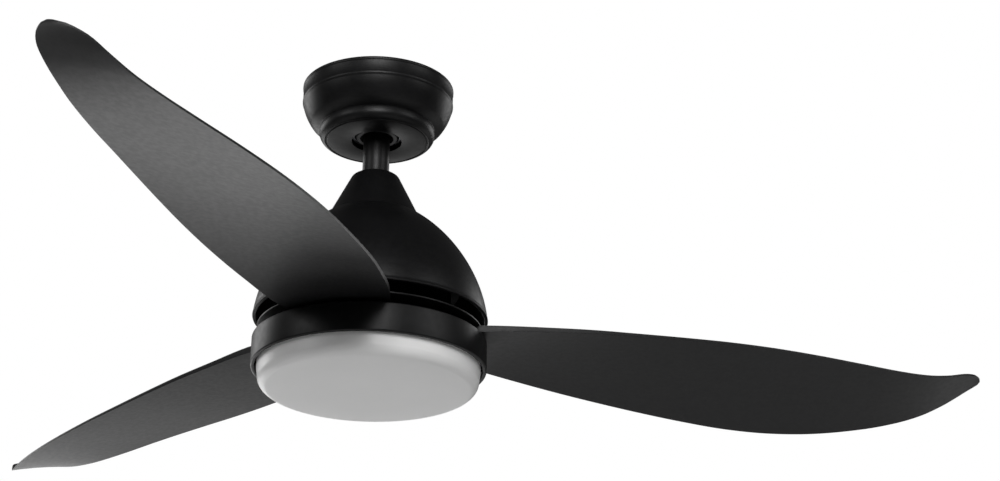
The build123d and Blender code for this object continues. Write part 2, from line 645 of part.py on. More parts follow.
def light_pan():
    """Fixed light ring: a shallow pan, open below, with ledges inside its rim for the diffuser's lugs."""
    round_r = 1.5
    inner = PAN_R - PAN_WALL
    outer = outline((19.0, PAN_TOP_Z), (PAN_R - 1.0, PAN_TOP_Z), (PAN_R, PAN_TOP_Z - 1.0),
                    (PAN_R, PAN_BOTTOM_Z + round_r))
    turn = math.sqrt(0.5) * round_r
    nose = ThreePointArc((PAN_R, 0, PAN_BOTTOM_Z + round_r),
                         (PAN_R - round_r + turn, 0, PAN_BOTTOM_Z + round_r - turn),
                         (PAN_R - round_r, 0, PAN_BOTTOM_Z))
    close = outline((PAN_R - round_r, PAN_BOTTOM_Z), (inner - 1.0, PAN_BOTTOM_Z), (inner - 1.0, LEDGE_LOW_Z),
                    (inner, LEDGE_LOW_Z), (inner, PAN_TOP_Z - 2.0), (19.0, PAN_TOP_Z - 2.0), (19.0, PAN_TOP_Z))
    body = turned(*outer, nose, *close)
    ledge = tube(inner + 0.5, LEDGE_R, LEDGE_LOW_Z, LEDGE_TOP_Z)
    for azimuth in around(LUG_COUNT, 30):
        body += ledge & sector(azimuth - 27, azimuth + 27, LEDGE_LOW_Z - 1, LEDGE_TOP_Z + 1)
    for azimuth in around(3, 90):
        x, y = polar(PAN_SCREW_R, azimuth)
        body -= post(M4_R + 0.3, x, y, PAN_TOP_Z - 3, PAN_TOP_Z + 1)
    for azimuth in around(3, 30):
        x, y = polar(STANDOFF_R, azimuth)
        body += tube_at(4.0, M4_R + THREAD_GAP, x, y, LED_PLATE_TOP_Z, PAN_TOP_Z - 1.9)
    return body


def sector(start, stop, low, high):
    """A wedge about the fan's axis, wide enough to cut any of its rings."""
    reach = 2 * PAN_R
    corners = [(0, 0), polar(reach, start), polar(reach, (start + stop) / 2), polar(reach, stop)]
    return Pos(0, 0, low) * extrude(make_face(Polyline(*corners, close=True).edges()), high - low)


def light_pan_screws():
    """Three screws up through the pan into the mounting plate."""
    return grouped(pan_head_screw(M4_R, *polar(PAN_SCREW_R, azimuth), PAN_TOP_Z - 2.0, PAN_TOP_Z + 2.2)
                   for azimuth in around(3, 90))


def led_driver():
    """LED driver in its case, under the pan's plate."""
    body = block((-30, 30), (-58, -32), (-274.5, PAN_TOP_Z - 2.0))
    return fillet(body.edges().filter_by(Axis.Z), 2)


def led_plate():
    """Aluminium plate that carries the LED board and spreads its heat."""
    body = disc(LED_PLATE_R, LED_PLATE_TOP_Z - 1.5, LED_PLATE_TOP_Z) - disc(10, -280, -270)
    for azimuth in around(3, 30):
        x, y = polar(STANDOFF_R, azimuth)
        body -= post(M4_R + 0.3, x, y, -280, -270)
    return body


def led_plate_screws():
    """Three screws up through the plate into the pan's posts."""
    return grouped(pan_head_screw(M4_R, *polar(STANDOFF_R, azimuth), LED_PLATE_TOP_Z - 1.5, LED_PLATE_TOP_Z + 8)
                   for azimuth in around(3, 30))


def led_board():
    """Round LED board."""
    return tube(LED_BOARD_R, 10.0, LED_PLATE_TOP_Z - 3.1, LED_PLATE_TOP_Z - 1.5)


def led_chips():
    """White LEDs in three rings on the board."""
    chips = []
    for radius, count in ((28, 8), (46, 14), (64, 20)):
        for azimuth in around(count):
            x, y = polar(radius, azimuth)
            chip = Rot(0, 0, azimuth) * Box(3.5, 2.8, 0.8)
            chips.append(Pos(x, y, LED_PLATE_TOP_Z - 3.1 - 0.4) * chip)
    return grouped(chips)


def diffuser():
    """Opal lens: a shallow dish with three bayonet lugs that rest on the pan's ledges."""
    wall = LENS_WALL
    top = -273.0
    outer = outline((LENS_R - wall, top), (LENS_R, top), (LENS_R, -288.0), (101.4, -296.0))
    corner = ThreePointArc((101.4, 0, -296.0), (98.8, 0, -303.0), (92.3, 0, LENS_BOTTOM_Z))
    floor = outline((92.3, LENS_BOTTOM_Z), (0, LENS_BOTTOM_Z), (0, LENS_BOTTOM_Z + wall),
                    (92.0, LENS_BOTTOM_Z + wall))
    inside = ThreePointArc((92.0, 0, LENS_BOTTOM_Z + wall), (97.2, 0, -301.6), (99.4, 0, -295.8))
    close = outline((99.4, -295.8), (LENS_R - wall, -288.0), (LENS_R - wall, top))
    body = turned(*outer, corner, *floor, inside, *close)
    lug = tube(PAN_R - PAN_WALL - 0.5, LENS_R - 1.0, LEDGE_TOP_Z + 0.4, LEDGE_TOP_Z + 2.6)
    for azimuth in around(LUG_COUNT, 12):
        body += lug & sector(azimuth - 7, azimuth + 7, LEDGE_LOW_Z, LEDGE_TOP_Z + 5)
    return body


# ---------------------------------------------------------------- write every sub-part
def main():
    for maker in (hanger_bracket, ceiling_canopy, canopy_screws, canopy_trim_ring, receiver_module,
                  terminal_block, earth_screw, hanger_ball, ball_cross_pin, downrod, rod_cable,
                  coupling_cover, motor_yoke, yoke_clevis_pin, yoke_pin_clip, yoke_set_screws,
                  motor_housing_dome, dome_screws, motor_shaft, stator_core, stator_windings,
                  rotor_magnets, rotor_iron_ring, rotor_upper_case, rotor_lower_case, rotor_case_screws,
                  blade_carrier, carrier_screws, blade_nuts, blade_screws, shaft_nuts, light_mount_plate,
                  light_pan, light_pan_screws, led_driver, led_plate, led_plate_screws, led_board,
                  led_chips, diffuser):
        save(maker.__name__, maker())
    for place, z in (("upper", UPPER_BEARING_Z), ("lower", LOWER_BEARING_Z)):
        for maker in (bearing_inner_race, bearing_outer_race, bearing_balls, bearing_cage):
            save(place + "_" + maker.__name__, maker(z))
    for index, azimuth in enumerate(blade_azimuths(), start=1):
        save(f"blade_{index}", blade(azimuth))


main()
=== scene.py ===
"""Looks of a ceiling fan with light, made round its CAD frame and laid out as a Blender add-on."""
import json
import math

import bmesh
import bpy
from mathutils import Matrix, Vector


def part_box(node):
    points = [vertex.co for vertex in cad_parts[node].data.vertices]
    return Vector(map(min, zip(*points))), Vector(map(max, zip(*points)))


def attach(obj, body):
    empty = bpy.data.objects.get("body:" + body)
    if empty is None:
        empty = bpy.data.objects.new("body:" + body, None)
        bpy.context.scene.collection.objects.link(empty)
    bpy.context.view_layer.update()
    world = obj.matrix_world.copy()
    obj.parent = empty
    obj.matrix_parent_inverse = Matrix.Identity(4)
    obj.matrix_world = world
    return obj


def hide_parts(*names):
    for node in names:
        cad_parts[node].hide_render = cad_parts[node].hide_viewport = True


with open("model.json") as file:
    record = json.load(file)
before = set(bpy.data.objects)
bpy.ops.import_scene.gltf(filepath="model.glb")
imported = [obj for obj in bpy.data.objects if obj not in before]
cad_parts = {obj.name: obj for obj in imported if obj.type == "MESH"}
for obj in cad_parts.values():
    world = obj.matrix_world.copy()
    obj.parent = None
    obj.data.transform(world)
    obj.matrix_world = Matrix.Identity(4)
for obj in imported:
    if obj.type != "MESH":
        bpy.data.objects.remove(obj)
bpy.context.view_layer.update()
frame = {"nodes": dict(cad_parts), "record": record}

bl_info = {
    "name": "Ceiling Fan Looks",
    "version": (1, 0, 0),
    "blender": (4, 5, 0),
    "location": "3D View > Sidebar > Fan",
    "description": "Models and finishes a domed ceiling fan with an opal light",
    "category": "Object",
}

MM = 0.001
FINE_STEPS = 160                # steps round the fan's axis
SMOOTH_ANGLE = math.radians(32)
MERGE_DISTANCE = 1e-6           # points nearer than this, in metres, are one
RING_TOLERANCE = 2e-5           # how near a point lies to an outline's corner, in metres

# Blade stations, in mm along the blade: distance out, leading edge y and z, trailing edge y and z, both on
# the underside, and the thickness at the edges and at mid-chord.
BLADE_STATIONS = (
    (68.0, -38.0, -256.4, 43.0, -256.4, 6.2, 6.2),
    (86.0, -43.5, -256.4, 49.0, -256.4, 6.2, 6.2),
    (104.0, -48.5, -256.4, 54.5, -256.0, 6.2, 6.2),
    (125.0, -52.5, -255.6, 60.0, -258.0, 5.4, 6.4),
    (150.0, -55.5, -254.5, 65.0, -261.0, 4.6, 6.6),
    (195.0, -59.7, -253.2, 73.0, -266.2, 3.8, 6.4),
    (240.0, -61.6, -252.6, 78.4, -271.5, 3.2, 6.0),
    (285.0, -61.9, -251.9, 82.2, -276.6, 2.8, 5.6),
    (330.0, -60.7, -251.3, 84.7, -281.2, 2.5, 5.2),
    (375.0, -58.0, -251.6, 84.6, -285.2, 2.3, 4.8),
    (420.0, -54.1, -253.0, 80.3, -287.2, 2.1, 4.4),
    (465.0, -49.5, -255.3, 70.5, -286.6, 2.0, 4.0),
    (510.0, -43.6, -257.1, 55.0, -282.8, 1.9, 3.6),
    (540.0, -39.2, -256.4, 41.8, -277.9, 1.8, 3.2),
    (562.0, -36.7, -253.6, 30.5, -271.8, 1.7, 2.8),
    (580.0, -34.3, -249.4, 20.3, -263.6, 1.6, 2.5),
    (592.0, -29.5, -247.3, 12.3, -256.6, 1.6, 2.3),
    (599.0, -24.0, -246.9, 4.5, -252.2, 1.5, 2.1),
    (604.0, -18.5, -246.9, -3.0, -249.4, 1.5, 1.9),
    (606.0, -14.0, -247.2, -8.5, -248.3, 1.5, 1.6),
)
BLADE_CAMBER = 0.018
FLAT_ROOT_MM = (110.0, 130.0)   # the root is flat up to the first, and fully cambered from the second
BLADE_COUNT = 3
FIRST_BLADE_AZIMUTH = 10.0
BLADE_GRID = (84, 20)           # faces along and across a blade
TIP_CROWDING = 0.55             # share of the grid's spacing that closes up towards the tip
RIM_ANGLE = math.radians(50)    # a sharper edge than this is a blade's rim
LEDGE_AZIMUTHS = (30, 150, 270)
LUG_AZIMUTHS = (12, 132, 252)


# ---------------------------------------------------------------- settings
class FanPaintSettings(bpy.types.PropertyGroup):
    """Finish of the painted metal and moulded blades."""

    paint_colour: bpy.props.FloatVectorProperty(
        name="Paint colour", description="Colour of the satin black paint", subtype="COLOR",
        size=3, min=0.0, max=1.0, default=(0.0035, 0.0035, 0.0038))
    paint_roughness: bpy.props.FloatProperty(
        name="Paint roughness", description="Gloss of the paint, from mirror to chalk",
        min=0.05, max=1.0, default=0.40, subtype="FACTOR")
    blade_colour: bpy.props.FloatVectorProperty(
        name="Blade colour", description="Colour of the blades' black plastic", subtype="COLOR",
        size=3, min=0.0, max=1.0, default=(0.006, 0.006, 0.0065))
    blade_roughness: bpy.props.FloatProperty(
        name="Blade roughness", description="Gloss of the blades' plastic",
        min=0.05, max=1.0, default=0.46, subtype="FACTOR")


class FanLightSettings(bpy.types.PropertyGroup):
    """Finish of the opal lens."""

    lens_colour: bpy.props.FloatVectorProperty(
        name="Lens colour", description="Colour of the unlit opal plastic", subtype="COLOR",
        size=3, min=0.0, max=1.0, default=(0.90, 0.90, 0.895))
    lens_roughness: bpy.props.FloatProperty(
        name="Lens roughness", description="Gloss of the lens",
        min=0.05, max=1.0, default=0.34, subtype="FACTOR")


class FanShapeSettings(bpy.types.PropertyGroup):
    """Small radius that the eye reads as a moulded edge."""

    blade_edge_round: bpy.props.FloatProperty(
        name="Blade edge rounding", description="Radius along the blades' edges",
        min=0.0001, max=0.0007, default=0.0005, unit="LENGTH")


class FanStageSettings(bpy.types.PropertyGroup):
    """Floor, backdrop and lights."""

    floor_drop: bpy.props.FloatProperty(
        name="Floor drop", description="Height of the fan's ceiling over the floor",
        min=1.0, max=5.0, default=2.4, unit="LENGTH")
    light_scale: bpy.props.FloatProperty(
        name="Light scale", description="Multiplies every studio light",
        min=0.0, max=10.0, default=1.0)
    floor_light: bpy.props.FloatProperty(
        name="Floor light", description="Watts of the wide light that washes the floor",
        min=0.0, max=1000.0, default=62.0)
    backdrop: bpy.props.FloatProperty(
        name="Backdrop", description="Brightness of the plain backdrop",
        min=0.0, max=4.0, default=1.0)


# ---------------------------------------------------------------- mesh helpers
def reach(node):
    """Radius about the fan's axis, lowest and highest z of a CAD node, in millimetres."""
    low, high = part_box(node)
    return max(high[0], high[1], -low[0], -low[1]) / MM, low[2] / MM, high[2] / MM


def arc(start, via, end, count=8):
    """Points on the circle through three (radius, height) points, without its first."""
    (ax, ay), (bx, by), (cx, cy) = start, via, end
    d = 2 * (ax * (by - cy) + bx * (cy - ay) + cx * (ay - by))
    a2, b2, c2 = ax * ax + ay * ay, bx * bx + by * by, cx * cx + cy * cy
    centre = Vector(((a2 * (by - cy) + b2 * (cy - ay) + c2 * (ay - by)) / d,
                     (a2 * (cx - bx) + b2 * (ax - cx) + c2 * (bx - ax)) / d))
    first, last = Vector(start) - centre, Vector(end) - centre
    sweep = -first.angle_signed(last)
    turn = [Matrix.Rotation(sweep * step / count, 2) for step in range(1, count + 1)]
    return [tuple(centre + rotation @ first) for rotation in turn]


def turned(bm, outline, steps=FINE_STEPS, closed=True):
    """Spins an outline of (radius, height) in mm about the fan's axis, and merges its seam and poles."""
    points = [bm.verts.new((radius * MM, 0.0, height * MM)) for radius, height in outline]
    pairs = list(zip(points, points[1:]))
    if closed:
        pairs.append((points[-1], points[0]))
    edges = [bm.edges.new(pair) for pair in pairs]
    bmesh.ops.spin(bm, geom=points + edges, axis=(0, 0, 1), cent=(0, 0, 0), angle=2 * math.pi,
                   steps=steps, use_merge=True)
    bmesh.ops.remove_doubles(bm, verts=bm.verts, dist=MERGE_DISTANCE)
    bmesh.ops.recalc_face_normals(bm, faces=bm.faces)


def ring_edges(bm, corner):
    """Edges that run round the fan's axis through one (radius, height) corner of an outline."""
    radius, height = corner[0] * MM, corner[1] * MM

    def there(vert):
        off_radius = abs(math.hypot(vert.co.x, vert.co.y) - radius)
        return off_radius < RING_TOLERANCE and abs(vert.co.z - height) < RING_TOLERANCE

    return [edge for edge in bm.edges if all(there(vert) for vert in edge.verts)]


def round_rings(bm, corners, radius, segments=3):
    """Rounds the outline's corners all the way round."""
    edges = [edge for corner in corners for edge in ring_edges(bm, corner)]
    bmesh.ops.bevel(bm, geom=edges, offset=radius, segments=segments, profile=0.5, affect="EDGES",
                    material=-1, clamp_overlap=True)


def arc_block(bm, inner, outer, low, high, start, stop, steps=10):
    """A short curved block about the fan's axis, such as a lug or a ledge."""
    made = bmesh.ops.create_grid(bm, x_segments=1, y_segments=1, size=0.5)["verts"]
    bmesh.ops.rotate(bm, verts=made, cent=(0, 0, 0), matrix=Matrix.Rotation(math.pi / 2, 3, "X"))
    bmesh.ops.scale(bm, verts=made, vec=((outer - inner) * MM, 1, (high - low) * MM))
    bmesh.ops.translate(bm, verts=made, vec=((outer + inner) / 2 * MM, 0, (high + low) / 2 * MM))
    turn = Matrix.Rotation(math.radians(start), 3, "Z")
    bmesh.ops.rotate(bm, verts=made, cent=(0, 0, 0), matrix=turn)
    faces = [face for face in bm.faces if all(vert in made for vert in face.verts)]
    edges = list({edge for face in faces for edge in face.edges})
    bmesh.ops.spin(bm, geom=made + edges + faces, axis=(0, 0, 1), cent=(0, 0, 0), dvec=(0, 0, 0),
                   angle=math.radians(stop - start), steps=steps, use_duplicate=False)


def finished(name, bm, finish, body, replaced):
    """Turns a bmesh into a smooth piece that rides on a body and stands for a CAD node."""
    mesh = bpy.data.meshes.new(name)
    bm.to_mesh(mesh)
    bm.free()
    mesh.shade_smooth()
    mesh.set_sharp_from_angle(angle=SMOOTH_ANGLE)
    piece = bpy.data.objects.new(name, mesh)
    bpy.context.scene.collection.objects.link(piece)
    mesh.materials.append(finish)
    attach(piece, body)
    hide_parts(replaced)
    return piece


# ---------------------------------------------------------------- finishes
def shader_of(material):
    """The material's Principled shader."""
    return material.node_tree.nodes["Principled BSDF"]


def plain_finish(name, colour, roughness, metallic=0.0, ior=1.5):
    """A new material with its even values set on the shader's own sockets."""
    material = bpy.data.materials.new(name)
    material.use_nodes = True
    shader = shader_of(material)
    shader.inputs["Base Color"].default_value = (*colour, 1.0)
    shader.inputs["Roughness"].default_value = roughness
    shader.inputs["Metallic"].default_value = metallic
    shader.inputs["IOR"].default_value = ior
    return material


def pattern_place(material, stretch=(1.0, 1.0, 1.0)):
    """Object coordinates through a Mapping node, whose scale stretches a pattern along an axis."""
    tree = material.node_tree
    place = tree.nodes.new("ShaderNodeTexCoord")
    mapping = tree.nodes.new("ShaderNodeMapping")
    mapping.inputs["Scale"].default_value = stretch
    tree.links.new(place.outputs["Object"], mapping.inputs["Vector"])
    return mapping.outputs["Vector"]


def cloudy(material, scale, detail=3.0, stretch=(1.0, 1.0, 1.0)):
    """A noise pattern over the piece."""
    tree = material.node_tree
    noise = tree.nodes.new("ShaderNodeTexNoise")
    noise.inputs["Scale"].default_value = scale
    noise.inputs["Detail"].default_value = detail
    tree.links.new(pattern_place(material, stretch), noise.inputs["Vector"])
    return noise.outputs["Fac"]


def spread(material, pattern, low, high, inner=0.35, outer=0.65):
    """Maps a pattern to a range of values."""
    tree = material.node_tree
    remap = tree.nodes.new("ShaderNodeMapRange")
    remap.inputs["From Min"].default_value = inner
    remap.inputs["From Max"].default_value = outer
    remap.inputs["To Min"].default_value = low
    remap.inputs["To Max"].default_value = high
    tree.links.new(pattern, remap.inputs["Value"])
    return remap.outputs["Result"]


def tinted(material, pattern, dark, light, inner=0.35, outer=0.65):
    """Runs the base colour from dark to light with a pattern."""
    tree = material.node_tree
    ramp = tree.nodes.new("ShaderNodeValToRGB")
    ramp.color_ramp.elements[0].position = inner
    ramp.color_ramp.elements[0].color = (*dark, 1.0)
    ramp.color_ramp.elements[1].position = outer
    ramp.color_ramp.elements[1].color = (*light, 1.0)
    tree.links.new(pattern, ramp.inputs["Fac"])
    tree.links.new(ramp.outputs["Color"], shader_of(material).inputs["Base Color"])


def embossed(material, pattern, strength, height):
    """Presses a pattern into the surface as fine relief."""
    tree = material.node_tree
    bump = tree.nodes.new("ShaderNodeBump")
    bump.inputs["Strength"].default_value = strength
    bump.inputs["Distance"].default_value = height
    tree.links.new(pattern, bump.inputs["Height"])
    tree.links.new(bump.outputs["Normal"], shader_of(material).inputs["Normal"])


def roughened(material, pattern, low, high):
    """Varies the gloss with a pattern."""
    link = material.node_tree.links.new
    link(spread(material, pattern, low, high), shader_of(material).inputs["Roughness"])


def shade_of(colour, factor):
    """A colour made darker or lighter."""
    return tuple(min(1.0, channel * factor) for channel in colour)


def satin_black_paint():
    """Sprayed satin black with a fine orange-peel and slightly uneven gloss."""
    paint = bpy.context.scene.fan_paint
    colour, gloss = tuple(paint.paint_colour), paint.paint_roughness
    material = plain_finish("satin_black_paint", colour, gloss)
    shader_of(material).inputs["Specular IOR Level"].default_value = 0.26
    tinted(material, cloudy(material, 40.0), shade_of(colour, 0.88), shade_of(colour, 1.15))
    roughened(material, cloudy(material, 160.0, 4.0), gloss - 0.025, gloss + 0.035)
    embossed(material, cloudy(material, 900.0, 2.0), 0.05, 0.0002)
    return material


def moulded_blade_black():
    """Black moulded plastic with a fine spark-eroded grain."""
    paint = bpy.context.scene.fan_paint
    colour, gloss = tuple(paint.blade_colour), paint.blade_roughness
    material = plain_finish("moulded_blade_black", colour, gloss)
    shader_of(material).inputs["Specular IOR Level"].default_value = 0.30
    tinted(material, cloudy(material, 60.0), shade_of(colour, 0.9), shade_of(colour, 1.12))
    roughened(material, cloudy(material, 220.0, 4.0), gloss - 0.02, gloss + 0.03)
    embossed(material, cloudy(material, 1500.0, 2.0), 0.06, 0.0002)
    return material


def opal_lens_plastic():
    """Unlit opal acrylic: milky, with a little light carried inside it."""
    light = bpy.context.scene.fan_light
    colour, gloss = tuple(light.lens_colour), light.lens_roughness
    material = plain_finish("opal_lens_plastic", colour, gloss, ior=1.49)
    shader = shader_of(material)
    shader.inputs["Subsurface Weight"].default_value = 0.25
    shader.inputs["Subsurface Scale"].default_value = 0.004
    shader.inputs["Subsurface Radius"].default_value = (1.0, 1.0, 1.0)
    tinted(material, cloudy(material, 12.0), shade_of(colour, 0.985), shade_of(colour, 1.01))
    roughened(material, cloudy(material, 60.0, 3.0), gloss - 0.02, gloss + 0.03)
    embossed(material, cloudy(material, 1200.0, 2.0), 0.05, 0.0002)
    return material


def worked_metal(name, colour, roughness, grain, stretch=(1.0, 1.0, 1.0), relief=0.06):
    """A metal whose grain varies its colour, gloss and relief."""
    material = plain_finish(name, colour, roughness, metallic=1.0)
    pattern = cloudy(material, grain, 5.0, stretch)
    tinted(material, pattern, shade_of(colour, 0.82), shade_of(colour, 1.08))
    roughened(material, pattern, roughness - 0.07, roughness + 0.09)
    embossed(material, pattern, relief, 0.0003)
    return material


def moulded_part(name, colour, roughness, grain=700.0, relief=0.08):
    """A moulded or dipped part with a fine grain."""
    material = plain_finish(name, colour, roughness)
    tinted(material, cloudy(material, 35.0), shade_of(colour, 0.92), shade_of(colour, 1.05))
    roughened(material, cloudy(material, 80.0), roughness - 0.04, roughness + 0.05)
    embossed(material, cloudy(material, grain, 2.0), relief, 0.0002)
    return material


def laminated_steel():
    """Bare stator steel, with the edges of its stacked sheets as fine lines across the height."""
    material = plain_finish("laminated_steel", (0.33, 0.34, 0.36), 0.42, metallic=1.0)
    tree = material.node_tree
    sheets = tree.nodes.new("ShaderNodeTexWave")
    sheets.bands_direction = "Z"
    sheets.inputs["Scale"].default_value = 320.0
    sheets.inputs["Distortion"].default_value = 0.4
    tree.links.new(pattern_place(material), sheets.inputs["Vector"])
    tinted(material, sheets.outputs["Fac"], (0.16, 0.16, 0.17), (0.42, 0.43, 0.45), 0.1, 0.6)
    embossed(material, sheets.outputs["Fac"], 0.35, 0.0002)
    return material


def enamelled_copper():
    """Copper wire under clear enamel, its turns as fine lines."""
    material = plain_finish("enamelled_copper", (0.62, 0.26, 0.12), 0.3, metallic=1.0)
    tree = material.node_tree
    turns = tree.nodes.new("ShaderNodeTexWave")
    turns.bands_direction = "Z"
    turns.inputs["Scale"].default_value = 240.0
    turns.inputs["Distortion"].default_value = 1.2
    tree.links.new(pattern_place(material), turns.inputs["Vector"])
    tinted(material, turns.outputs["Fac"], (0.26, 0.09, 0.04), (0.72, 0.32, 0.15), 0.15, 0.7)
    embossed(material, turns.outputs["Fac"], 0.5, 0.0003)
    return material


def inner_finishes():
    """One finish for each of the record's slots that the CAD nodes keep."""
    return {
        "zinc_steel": worked_metal("zinc_plate", (0.55, 0.56, 0.58), 0.34, 160.0),
        "black_steel": worked_metal("black_oxide_steel", (0.03, 0.03, 0.032), 0.45, 300.0),
        "cast_zinc": worked_metal("cast_zinc_skin", (0.36, 0.37, 0.38), 0.55, 420.0, relief=0.2),
        "cast_aluminium": worked_metal("cast_aluminium_skin", (0.56, 0.57, 0.58), 0.48, 380.0, relief=0.2),
        "bearing_steel": worked_metal("ground_bearing_steel", (0.62, 0.63, 0.65), 0.16, 500.0),
        "brass": worked_metal("earth_screw_brass", (0.62, 0.45, 0.18), 0.32, 200.0),
        "lamination_steel": laminated_steel(),
        "copper_wire": enamelled_copper(),
        "magnet": moulded_part("ferrite_magnet", (0.035, 0.035, 0.038), 0.6),
        "dark_plastic": moulded_part("black_nylon", (0.02, 0.02, 0.021), 0.5),
        "white_nylon": moulded_part("white_nylon", (0.72, 0.72, 0.69), 0.45),
        "white_board": moulded_part("white_solder_mask", (0.8, 0.8, 0.78), 0.3, 1200.0, 0.04),
        "led_phosphor": moulded_part("led_phosphor", (0.85, 0.68, 0.16), 0.25, 1600.0, 0.04),
        "cable_rubber": moulded_part("cable_sheath", (0.03, 0.03, 0.03), 0.55),
    }


# ---------------------------------------------------------------- canopy, rod and cover
def canopy_bowl(finish):
    """Bowl with a rim, a flat band, a raised bead, a full round that turns under, and a hidden floor."""
    radius, low, high = reach("ceiling_canopy")
    wall = 1.4
    side = radius - 0.5
    bead = -16.6
    outline = [(radius, high), (radius, -3.0), (side, -3.8), (side, bead + 1.9)]
    outline += arc(outline[-1], (side + 0.35, bead), (side - 0.35, bead - 2.0), 8)
    outline += arc(outline[-1], (68.9, -27.6), (63.5, -37.0), 20)
    outline += arc(outline[-1], (60.0, -40.1), (55.2, -42.7), 8)
    outline += [(54.8, low), (33.5, low), (33.5, low + wall), (54.2, low + wall)]
    outline += arc(outline[-1], (58.9, -39.2), (62.2, -36.2), 6)
    outline += arc(outline[-1], (67.6, -26.5), (side - wall, -14.8), 12)
    outline.append((side - wall, high))
    bm = bmesh.new()
    turned(bm, outline)
    round_rings(bm, [(radius, -3.0), (side, -3.8), (radius, high)], 0.3 * MM, 2)
    return finished("canopy_bowl", bm, finish, "ceiling_mount", "ceiling_canopy")


def canopy_trim(finish):
    """Trim ring below the bowl: upright side, soft corner, groove, and the plate with the rod's hole."""
    radius, low, high = reach("canopy_trim_ring")
    hole, plate = 24.0, 1.4
    outline = [(radius, high), (radius, -47.5)]
    outline += arc(outline[-1], (53.4, -52.5), (49.8, low), 14)
    outline += [(49.1, low + 0.9), (48.1, low + 0.9), (47.5, low), (hole, low), (hole, low + plate),
                (46.2, low + plate), (47.2, low + 2.3), (49.2, low + 2.3)]
    outline += arc(outline[-1], (52.1, -51.2), (radius - plate, -47.5), 8)
    outline.append((radius - plate, high))
    bm = bmesh.new()
    turned(bm, outline)
    round_rings(bm, [(47.5, low), (hole, low), (49.8, low), (radius, high)], 0.3 * MM, 2)
    return finished("canopy_trim", bm, finish, "ceiling_mount", "canopy_trim_ring")


def rod_tube(finish):
    """Downrod tube with broken ends."""
    radius, low, high = reach("downrod")
    bore = radius - 2.0
    bm = bmesh.new()
    turned(bm, [(radius, high), (radius, low), (bore, low), (bore, high)], 96)
    round_rings(bm, [(radius, high), (radius, low), (bore, high), (bore, low)], 0.4 * MM, 2)
    return finished("downrod_tube", bm, finish, "hanging", "downrod")


def cover_cone(finish):
    """Coupling cover: a spun cone with a rounded top and a crisp foot on the dome."""
    radius, low, high = reach("coupling_cover")
    hole, corner = 13.3, (22.8, high - 3.2)
    outline = [(hole, high)]
    outline += arc(outline[0], (19.0, high - 0.8), corner, 8)
    outline += [(radius, low), (radius - 2.0, low), (corner[0] - 1.8, corner[1] - 0.6),
                (18.6, corner[1] + 0.7), (hole, high - 1.8)]
    bm = bmesh.new()
    turned(bm, outline)
    round_rings(bm, [corner], 0.9 * MM, 4)
    round_rings(bm, [(hole, high)], 0.25 * MM, 2)
    return finished("coupling_cone", bm, finish, "hanging", "coupling_cover")


# ---------------------------------------------------------------- housing and carrier
def dome_side(radius, centre, height, power, low, high, count):
    """Points up a superellipse from one height to another."""
    start = math.asin(((low - centre) / height) ** (power / 2))
    stop = math.asin(((high - centre) / height) ** (power / 2))
    points = []
    for index in range(count):
        angle = start + (stop - start) * index / (count - 1)
        across = radius * math.cos(angle) ** (2 / power)
        points.append((across, centre + height * math.sin(angle) ** (2 / power)))
    return points


def housing_dome(finish):
    """Fixed dome over the motor, with a rolled lip."""
    radius, lip, top = reach("motor_housing_dome")[0], -239.0, reach("motor_yoke")[1]
    centre, height, power, wall = lip - 5.2, 123.2, 1.75, 2.2
    outer = dome_side(radius + 0.25, centre, height, power, lip + 2.0, top, 44)
    inner = dome_side(radius - wall, centre, height - wall, power, lip + 2.0, top - wall, 30)
    outline = outer + [(8.8, top), (8.8, top - wall)] + list(reversed(inner))
    lip_inner = inner[0][0] - 0.6
    outline += arc(inner[0], (lip_inner, lip + 0.7), (lip_inner + 0.7, lip), 4)
    outline += arc((radius - 0.7, lip), (radius - 0.1, lip + 0.3), outer[0], 5)[:-1]
    bm = bmesh.new()
    turned(bm, outline)
    return finished("housing_dome", bm, finish, "hanging", "motor_housing_dome")


def carrier_flange(finish):
    """Thin flange of the turning part, whose edge shows as a rib in the gap."""
    radius, low, high = reach("blade_carrier")
    bm = bmesh.new()
    turned(bm, [(radius, high), (radius, low), (24.0, low), (24.0, high)])
    round_rings(bm, [(radius, high), (radius, low)], 0.45 * MM, 3)
    return finished("carrier_flange", bm, finish, "rotor", "blade_carrier")


# ---------------------------------------------------------------- blades
def flowing(column, along):
    """A blade value at a distance out, on a smooth curve through the stations."""
    reaches = [station[0] for station in BLADE_STATIONS]
    values = [station[column] for station in BLADE_STATIONS]
    last = len(reaches) - 1
    index = max(i for i in range(last) if reaches[i] <= along or i == 0)

    def slope(i):
        before, after = max(i - 1, 0), min(i + 1, last)
        return (values[after] - values[before]) / (reaches[after] - reaches[before])

    gap = reaches[index + 1] - reaches[index]
    s = (along - reaches[index]) / gap
    rest = 1 - s
    return (values[index] * (1 + 2 * s) * rest * rest + slope(index) * gap * s * rest * rest
            + values[index + 1] * s * s * (3 - 2 * s) - slope(index + 1) * gap * s * s * rest)


def blade_place(along, across):
    """Y and z of the underside and the thickness, at a distance out and a share of the chord."""
    lead_y, lead_z, trail_y, trail_z, edge, middle = (flowing(column, along) for column in range(1, 7))
    start, full = FLAT_ROOT_MM
    arched = min(1.0, max(0.0, (along - start) / (full - start)))
    swell = 4 * across * (1 - across)
    rise = BLADE_CAMBER * (trail_y - lead_y) * arched * swell
    y = lead_y + (trail_y - lead_y) * across
    z = lead_z + (trail_z - lead_z) * across + rise
    return y, z, edge + (middle - edge) * swell


